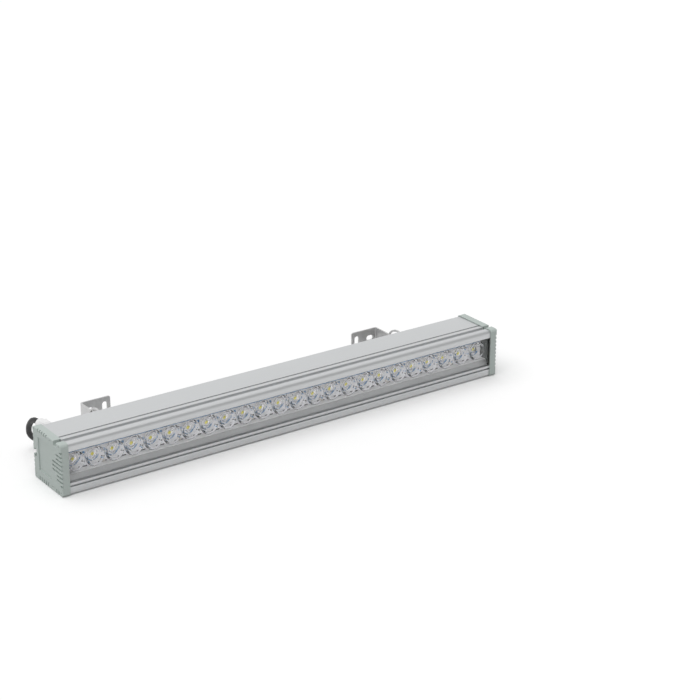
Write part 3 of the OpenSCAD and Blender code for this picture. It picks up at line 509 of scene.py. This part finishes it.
# The lead from the gland to the coil, and from the coil to its end. Each point has its place along the light and
# away from it, in millimetres from the gland, and its height: 0 on the floor, 1 at the gland or on the coil
RUN = [(0, 14.5, 1), (0, 21, 1), (0, 27.5, 0.99), (0, 35.5, 0.92), (0.5, 42.5, 0.77), (1.5, 48, 0.58),
       (4.5, 52.5, 0.37), (10.5, 56, 0.195), (19.5, 58.5, 0.075), (31, 60.5, 0.018), (44, 62, 0),
       (58, 63.5, 0), (72, 65, 0), (86, 66.3, 0), (100, 67.5, 0), (114, 68.7, 0), (128, 69.9, 0),
       (142, 71, 0), (156, 72, 0), (170, 72.7, 0), (184, 73, 0), (192, 73, 0), (197.5, 73, 0)]
TAIL = [(208.5, 73, 1), (214, 73, 1), (225, 73.3, 1), (236, 73.5, 0.82), (247, 73.3, 0.42), (258, 72.5, 0.1),
        (269, 71.5, 0), (280, 70.5, 0), (285.5, 70, 0)]
GLAND = Vector((-233, 0, 42))
LEAD_REST_Z = 2.9
COIL_AT = (203, 38.5)
COIL_R = 34.5
COIL_STEP = 6
COIL_TURNS = 2
COIL_POINTS = 24
CLIMB_TURNS = 0.5


def lead_point(point, height):
    return Vector((GLAND.x + point[0], GLAND.y + point[1], LEAD_REST_Z + point[2] * height)) * MM


def coil_point(turn):
    """A point of the coil: it winds inwards on the floor, climbs by one lead and winds outwards again."""
    radius = COIL_R - COIL_STEP * (COIL_TURNS - abs(turn - COIL_TURNS))
    climb = (1 - math.cos(math.pi * min(max((turn - COIL_TURNS) / CLIMB_TURNS + 0.5, 0), 1))) / 2
    angle = 2 * math.pi * turn
    return Vector((GLAND.x + COIL_AT[0] + radius * math.sin(angle),
                   GLAND.y + COIL_AT[1] + radius * math.cos(angle),
                   LEAD_REST_Z + COIL_STEP * climb)) * MM


def lead_route():
    run = [lead_point(p, GLAND.z - LEAD_REST_Z) for p in RUN]
    coil = [coil_point(k / COIL_POINTS) for k in range(2 * COIL_TURNS * COIL_POINTS + 1)]
    return run + coil + [lead_point(p, COIL_STEP) for p in TAIL]


def tube_curve(name, points, diameter, finish):
    curve = bpy.data.curves.new(name, "CURVE")
    curve.dimensions = "3D"
    curve.bevel_depth = diameter / 2
    curve.bevel_resolution = 3
    curve.resolution_u = 4
    curve.use_fill_caps = True
    line = curve.splines.new("BEZIER")
    line.bezier_points.add(len(points) - 1)
    for point, place in zip(line.bezier_points, points):
        point.co = place
        point.handle_left_type = point.handle_right_type = "AUTO"
    curve.materials.append(finish)
    piece = bpy.data.objects.new(name, curve)
    bpy.context.scene.collection.objects.link(piece)
    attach(piece, LIGHT)
    return piece


ROUTE = lead_route()
lead = tube_curve("mains_lead", ROUTE, CORD_D, SHEATH)
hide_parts("lead_run", "lead_coil", "lead_tail")

# The stripped cores, in metres from the end of the sheath
CORE_RING = 0.001485
CORE_START = 0.004
CORE_REACH = 0.026
CORE_SPREAD = 0.005
CORE_REST = (1.25 - LEAD_REST_Z) * MM
CORE_STEPS = (0, 0.1, 0.2, 0.35, 0.5, 0.65, 0.8, 0.9, 1)


def core_places():
    """Routes of the three stripped cores: they leave the sheath together, sink to the floor and spread."""
    end = ROUTE[-1]
    ahead = (ROUTE[-1] - ROUTE[-2]).normalized()
    side = Vector((0, 0, 1)).cross(ahead)
    straight = CORE_D / 2
    routes = []
    for k in (-1, 0, 1):
        beside = CORE_RING * math.sin(math.radians(120 * k))
        above = CORE_RING * math.cos(math.radians(120 * k))
        route = [end - ahead * CORE_START + side * beside + Vector((0, 0, above))]
        for s in CORE_STEPS:
            ease = s * s * (3 - 2 * s)
            route.append(end + ahead * (straight + CORE_REACH * s) + side * (beside + k * CORE_SPREAD * ease)
                         + Vector((0, 0, above * (1 - ease) + CORE_REST * ease)))
        route.append(route[-1] + ahead * straight)
        routes.append(route)
    return routes


cores = [tube_curve("core_" + name, route, CORE_D, finish)
         for name, route, finish in zip(("blue", "earth", "brown"), core_places(),
                                        (CORE_BLUE, CORE_EARTH, CORE_BROWN))]
for core in cores:
    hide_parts("lead_cores")


# ---------------------------------------------------------------- housing

# The bar's section: Y from the middle of the caps, Z, and the radius of the corner where it has one.
# First the outline (underside, T-slot in the rear, top with a fine groove and the channel, front lip, glass
# groove, recess, ledge, sill with its groove), then the driver's chamber and the duct under the recess.
SECTION = [
    [(-26.5, 1, 1.5), (26.5, 1, 1.5),
     (26.5, 23.8, 0.2), (24.9, 23.8), (24.9, 22), (21.3, 22), (21.3, 30), (24.9, 30), (24.9, 28.2), (26.5, 28.2, 0.2),
     (26.5, 50.4, 2.5), (-6.8, 50.4, 0.15), (-6.8, 49.5), (-9, 49.5), (-9, 50.4, 0.15),
     (-13.8, 50.4, 0.2), (-13.8, 47.7, 1.2), (-19, 47.7, 1.2), (-19, 50.4, 0.2),
     (-26.5, 50.4, 3.5), (-26.5, 42.7, 0.4), (-25, 42.7), (-25, SEAL_HIGH.z), (-21.2, SEAL_HIGH.z), (-21.2, 42.7),
     (-9.4, 42.7, 0.3), (-9.4, 15.2), (-11.1, 15.2), (-11.1, 17.1, 0.3), (-18.8, 17.1, 0.5), (-21.4, 12.1, 0.3),
     (-26.5, 12.1, 0.4), (-26.5, 9.6, 0.15), (-24.4, 9.6), (-24.4, 8.1), (-26.5, 8.1, 0.15)],
    [(-6.4, 3.5, 1.2), (24, 3.5, 1.2), (24, 20, 0.5), (19.3, 20, 0.5), (19.3, 32, 0.5), (24, 32, 0.5),
     (24, 47.9, 1.2), (-6.4, 47.9, 1.2)],
    [(-24, 3.5, 1), (-7.9, 3.5, 1), (-7.9, 7.5, 1), (-24, 7.5, 1)]]
SECTION_MIDDLE_Y = -26.5
CORNER_FINENESS = 5
GLAND_BORE_R = 4.65
WIRE_HOLE_X, WIRE_HOLE_R = -40, 3
BOARD_SCREW_HOLE_R = 1.55
BOARD_SCREW_STEPS = (2, 6, 10)


def bar_drawing():
    """The section's lines, and the drills of the gland, the wires and the board screws."""
    shape = bmesh.new()
    corner = shape.verts.layers.float.new("corner")
    drawn = shape.verts.layers.bool.new("in_section")
    for loop in SECTION:
        points = []
        for y, z, *radius in loop:
            point = shape.verts.new(((y + SECTION_MIDDLE_Y) * MM, z * MM, 0))
            point[corner] = (radius[0] if radius else 0.0) * MM
            point[drawn] = True
            points.append(point)
        for a, b in zip(points, points[1:] + points[:1]):
            shape.edges.new((a, b))
    screws_low, screws_high = place_of("board_screws")
    screw_z = (screws_low.z + screws_high.z) / 2
    # X, Z and radius of each hole, and from which Y to which Y it is drilled
    holes = [(GLAND.x, GLAND.z, GLAND_BORE_R, -4, 1), (WIRE_HOLE_X, LENS_Z, WIRE_HOLE_R, -37, -31)]
    holes += [(side * steps * LENS_STEP, screw_z, BOARD_SCREW_HOLE_R, -37, -32)
              for steps in BOARD_SCREW_STEPS for side in (-1, 1)]
    for x, z, radius, start, stop in holes:
        place = Matrix.Translation(Vector((x, (start + stop) / 2, z)) * MM) @ TURN_TO_FRONT
        bmesh.ops.create_cone(shape, cap_ends=True, segments=32, radius1=radius * MM, radius2=radius * MM,
                              depth=(stop - start) * MM, matrix=place)
    return to_mesh(shape, bpy.data.meshes.new("bar_drawing"))


def housing():
    sizes = {"Length": 2 * PROFILE_END * MM, "Fineness": CORNER_FINENESS}
    mesh = BAR.make("housing_bar", bar_drawing(), ALUMINIUM, sizes, stands_for=["housing_profile"]).data
    shape = bmesh.new()
    shape.from_mesh(mesh)
    bmesh.ops.remove_doubles(shape, verts=shape.verts, dist=WELD)
    bmesh.ops.recalc_face_normals(shape, faces=shape.faces)
    to_mesh(shape, mesh, sharp_from=28)


housing()


# ---------------------------------------------------------------- LEDs, lenses and what lies on the boards

TRACK_HEIGHT = 0.06
SUNK = 0.02


def ring_part(inner, outer, first, last, steps):
    """A copper track along a part of a ring, angles in degrees."""
    shape = bmesh.new()
    loops = []
    for along in (0, -TRACK_HEIGHT):
        for radius in (inner, outer):
            loops.append([shape.verts.new((radius * math.cos(a), along, radius * math.sin(a)))
                          for a in (math.radians(first + (last - first) * k / steps) for k in range(steps + 1))])
    low_in, low_out, high_in, high_out = loops
    for k in range(steps):
        for a, b in ((high_in, high_out), (low_out, low_in), (low_in, high_in), (high_out, low_out)):
            shape.faces.new((a[k], a[k + 1], b[k + 1], b[k]))
    for k in (0, steps):
        shape.faces.new((low_in[k], low_out[k], high_out[k], high_in[k]))
    bmesh.ops.recalc_face_normals(shape, faces=shape.faces)
    shape.transform(Matrix.Scale(MM, 4))
    return to_mesh(shape, bpy.data.meshes.new("ring_part"))


def joined(meshes):
    """One mesh from several."""
    shape = bmesh.new()
    for mesh in meshes:
        shape.from_mesh(mesh)
    return to_mesh(shape, bpy.data.meshes.new("joined"), sharp_from=40)


# Radius and height over the board: the well over the LED, the foot, the outside, the rim, and down the cup to
# the bump in its middle
LENS_SECTION = [
    (0, 2.3), (1.2, 2.2), (2.1, 1.8), (2.6, 1.2), (2.9, 0.05), (6.3, 0.05), (6.9, 0.9), (7.7, 2.6), (8.6, 4.4),
    (LENS_R - 0.3, 5.5), (LENS_R, 5.9), (LENS_R, 6.4), (LENS_R - 0.2, 6.6), (7.7, 6.6), (7.4, 6.35), (6.9, 3.6),
    (6.5, 3.15), (4.6, 2.9), (4.2, 3.0), (3.9, 3.5), (3.3, 4.3), (2.4, 5.0), (1.2, 5.45), (0, 5.6)]


def lamps_and_lenses():
    def on_each(name, mesh, finish, aside=0, ahead=0, above=0, stands_for=()):
        start = (LENS_FIRST + aside, BOARD_FACE_Y - ahead, LENS_Z + above)
        row(name, mesh, finish, LENS_COUNT, start, (LENS_STEP, 0, 0), stands_for)

    foot = blocks([((-1.7, -0.75, -1.7), (1.7, 0, 1.7)), ((-1.45, -0.85, -1.45), (1.45, -0.7, 1.45))])
    disc = lathe([(0, 0), (2.7, 0), (2.7, 0.1), (0, 0.1)], 24)
    on_each("led_bases", joined([foot, disc]), CERAMIC, stands_for=["led_chips"])
    # Shiny solder domes up-left of each die, put where the lenses show a glint of the lamp: a painted highlight
    glint_dome = lathe([(0, 0), (1.3, 0), (1.3, 0.1), (1.05, 0.4), (0.6, 0.6), (0, 0.68)], 12)
    on_each("painted_glint_outer", glint_dome, SOLDER, aside=-3.7, above=1.5)
    on_each("painted_glint_inner", glint_dome.copy(), SOLDER, aside=-2.0, ahead=0.3, above=2.6)
    die = lathe([(0, 0.84), (1.75, 0.84), (1.75, 1.1), (1.4, 1.3), (0, 1.35)], 4)
    on_each("led_dies", die, DIE)
    on_each("lens_row", lathe(LENS_SECTION, 48), CLEAR, stands_for=["lenses"])


# Copper marks between two lenses: middle in X and Z, width and height
MARKS_EVEN = [
    (-1.2, 3.4, 1.9, 2.3), (1.6, 3.4, 2.2, 2.5), (0.2, 3.9, 1.2, 0.6), (3.2, -2.2, 0.7, 1.9),
    (4.2, -2.4, 0.9, 0.7), (5.0, -3.0, 0.7, 1.6), (1.2, -2.9, 1.1, 0.7), (-3.4, -0.8, 0.6, 2.2)]
MARKS_ODD = [
    (0.4, 0.8, 0.7, 1.9), (1.5, 0.9, 0.7, 1.4), (2.6, 0.8, 0.8, 1.9), (3.7, 0.9, 0.6, 1.3), (4.7, 0.8, 0.7, 1.9),
    (1.6, 2.2, 3.4, 0.5), (4.1, -3.1, 2.5, 0.9), (-0.4, -6.2, 1.7, 0.9), (-3.2, 2.6, 0.6, 2.6)]
# Parts of rings under each lens: inner and outer radius, first and last angle, steps
RING_TRACKS = [(5.7, 6.35, 195, 262, 12), (5.7, 6.35, 274, 345, 12), (6.7, 7.3, 20, 75, 8), (3.4, 4.0, 205, 330, 12)]
# Height and thickness of the dark blue line along the top of the boards, painted shade under the lip
SHADE_LINE_Z = (34.5, 35.1)
SHADE_LINE_HEIGHT = 0.08
# Height of the dark blocks between the lens feet, painted shade where the boards meet the ledge
FOOT_SHADE_Z = 17.75
PIN_DROP = 4.7
RAIL_Z = (17.0, 17.35)
RAIL_REACH = (0.15, 7.4)
RAIL_CLEAR = 0.3


def board_marks():
    """Copper lines, pads and small parts that repeat along the boards, and a dark line under the lip and dark blocks
    between the lens feet that are painted shade.
    """
    gaps = LENS_COUNT - 1
    pair = (2 * LENS_STEP, 0, 0)
    odd_x = LENS_FIRST + 1.5 * LENS_STEP
    even_x = LENS_FIRST + 0.5 * LENS_STEP

    def marks(rects):
        return blocks([((x - w / 2, -TRACK_HEIGHT, z - h / 2), (x + w / 2, SUNK, z + h / 2)) for x, z, w, h in rects])

    def in_odd(name, mesh, finish, aside=0, above=0):
        row(name, mesh, finish, gaps // 2, (odd_x + aside, BOARD_FACE_Y, LENS_Z + above), pair)

    def in_even(name, mesh, finish, aside=0, above=0):
        row(name, mesh, finish, gaps - gaps // 2, (even_x + aside, BOARD_FACE_Y, LENS_Z + above), pair)

    def in_all(name, mesh, finish, z):
        row(name, mesh, finish, gaps, (even_x, BOARD_FACE_Y, z), (LENS_STEP, 0, 0))

    in_even("tracks_a", marks(MARKS_EVEN), TRACK)
    in_odd("tracks_b", marks(MARKS_ODD), TRACK)
    # The dark blue line under the lip is painted shade, made as a track along the whole board
    edge = blocks([((BOARD_LOW.x, BOARD_FACE_Y - SHADE_LINE_HEIGHT, SHADE_LINE_Z[0]),
                    (-BOARD_LOW.x, BOARD_FACE_Y + SUNK, SHADE_LINE_Z[1]))])
    new_piece("painted_shade_line", edge, TRACK)
    row("ring_tracks", joined([ring_part(*ring) for ring in RING_TRACKS]), TRACK, LENS_COUNT,
        (LENS_FIRST, BOARD_FACE_Y, LENS_Z), (LENS_STEP, 0, 0))
    resistor = blocks([((-0.9, -0.55, -0.6), (0.9, 0, 0.6)), ((-1.25, -0.4, -0.6), (-0.85, 0, 0.6)),
                       ((0.85, -0.4, -0.6), (1.25, 0, 0.6))])
    in_odd("board_resistors", resistor, PART, aside=0.4, above=8.4)
    pad = lathe([(0, 0), (1.45, 0), (1.45, 0.06), (1.2, 0.22), (0, 0.3)], 4)
    in_odd("solder_pads", pad, SOLDER, aside=4.6, above=-6.4)
    in_even("solder_pads_a", pad.copy(), SOLDER, aside=-2.6, above=-6.6)
    # Dark blocks between the lens feet: painted shade where the boards meet the ledge
    in_all("painted_shade_blocks", blocks([((-4.4, -0.4, -0.4), (4.4, 0, 0.4))]), PART, FOOT_SHADE_Z)
    rail = blocks([((RAIL_CLEAR - PROFILE_END, BOARD_FACE_Y - RAIL_REACH[1], RAIL_Z[0]),
                    (PROFILE_END - RAIL_CLEAR, BOARD_FACE_Y - RAIL_REACH[0], RAIL_Z[1]))])
    new_piece("board_rail", rail, RAIL_WHITE)
    pin = lathe([(0, 0), (0.65, 0), (0.65, 0.3), (0.5, 0.4), (0, 0.4)], 12)
    in_all("board_pins", pin, RUBBER, LENS_Z - PIN_DROP)


def glass_channels():
    """The channels that hold the glass; the lower one stands inside the bar, so it has no inner wall."""
    low, high = SEAL_LOW, SEAL_HIGH
    wall = 0.4
    depth = 2.1

    def strip(y0, z0, y1, z1):
        return (low.x, y0, z0), (high.x, y1, z1)

    new_piece("glass_channels", blocks([
        strip(low.y, low.z, high.y, low.z + wall), strip(low.y, low.z + wall, low.y + wall, low.z + depth),
        strip(low.y, high.z - wall, high.y, high.z), strip(low.y, high.z - depth, low.y + wall, high.z - wall),
        strip(high.y - wall, high.z - depth, high.y, high.z - wall)]), NYLON, stands_for=["glass_seal"])


lamps_and_lenses()
board_marks()
glass_channels()


# ---------------------------------------------------------------- caps, brackets and fasteners

for side in SIDES:
    for plate in ("clamp_bracket", "wall_bracket", "slot_nut"):
        softened(side + "_" + plate, 0.2, BRACKET)
    for fastener in ("slot_screws", "pivot_screw", "lock_screw", "lock_washer", "lock_nut", "pivot_nut"):
        softened(side + "_" + fastener, 0.15, SCREW)
softened("gland_body", 0.2, NYLON)
softened("gland_nut", 0.3, NYLON)

# CAD nodes that are shown as they are, with a finish
PLAIN = {
    "end_cap_left": CAP, "end_cap_right": CAP, "cap_seal_left": SEAL, "cap_seal_right": SEAL,
    "front_glass": PANE, "led_board_left": BOARD, "led_board_right": BOARD, "board_screws": SCREW,
    "driver_tray": NYLON, "driver_board": DRIVER_GREEN, "driver_parts": PART, "terminal_block": DRIVER_GREEN,
    "inner_wires": CORE_BROWN, "gland_seal": RUBBER, "gland_grommet": RUBBER, "lead_entry": SHEATH,
    "core_ferrules": SOLDER}
for node, finish in PLAIN.items():
    mesh = NODES[node].data
    mesh.materials.clear()
    mesh.materials.append(finish)


# ---------------------------------------------------------------- floor and light

FLOOR_REACH = 6000
FLOOR_DEPTH = 20


def stage():
    """A floor that looks white and lights the object less than a white one would."""
    slab = blocks([((-FLOOR_REACH, -FLOOR_REACH, -FLOOR_DEPTH), (FLOOR_REACH, FLOOR_REACH, 0))])
    floor = bpy.data.objects.new("floor", slab)
    bpy.context.scene.collection.objects.link(floor)
    f = Finish("floor_white", roughness=0.6, specular_ior_level=0.0)
    seen = f.ray("Camera") + f.ray("Transmission") + f.ray("Glossy")
    f.set({"Base Color": f.mix(seen, (0.58, 0.58, 0.58), (1.0, 1.0, 1.0))})
    floor.data.materials.append(f.material)


def sun(name, strength, from_way, degrees):
    data = bpy.data.lights.new(name, "SUN")
    data.energy = strength
    data.angle = math.radians(degrees)
    lamp = bpy.data.objects.new(name, data)
    bpy.context.scene.collection.objects.link(lamp)
    lamp.rotation_euler = Vector(from_way).to_track_quat("Z", "Y").to_euler()


def set_light():
    """White to look at, dimmer on what it lights, and greyer in reflections from high up in front."""
    world = bpy.data.worlds.new("studio")
    bpy.context.scene.world = world
    world.use_nodes = True
    g = Graph(world.node_tree)
    way = g.node("ShaderNodeTexCoord", out="Generated")
    y, z = (g.node("ShaderNodeSeparateXYZ", {}, {0: way}, out=axis) for axis in (1, 2))
    high_front = g.node("ShaderNodeMapRange", {"interpolation_type": "SMOOTHSTEP"}, {
        "Value": z * 0.85 - y * 0.5, "From Min": 0.2, "From Max": 0.85, "To Min": 1.0, "To Max": 0.4})
    camera = g.ray("Camera")
    mirrored = g.ray("Glossy") + g.ray("Transmission")
    level = camera + (1 - camera) * (mirrored * high_front + (1 - mirrored) * 0.5)
    sky = g.node("ShaderNodeBackground", {}, {"Color": (1, 1, 1), "Strength": level})
    end = g.tree.nodes.new("ShaderNodeOutputWorld")
    g.tree.links.new(sky.socket, end.inputs["Surface"])
    sun("overhead", strength=1.62, from_way=(-0.26, 0.07, 0.93), degrees=72)
    sun("window", strength=0.24, from_way=(-0.6, -0.7, 0.4), degrees=20)
    bpy.context.scene.view_settings.view_transform = "Standard"


stage()
set_light()
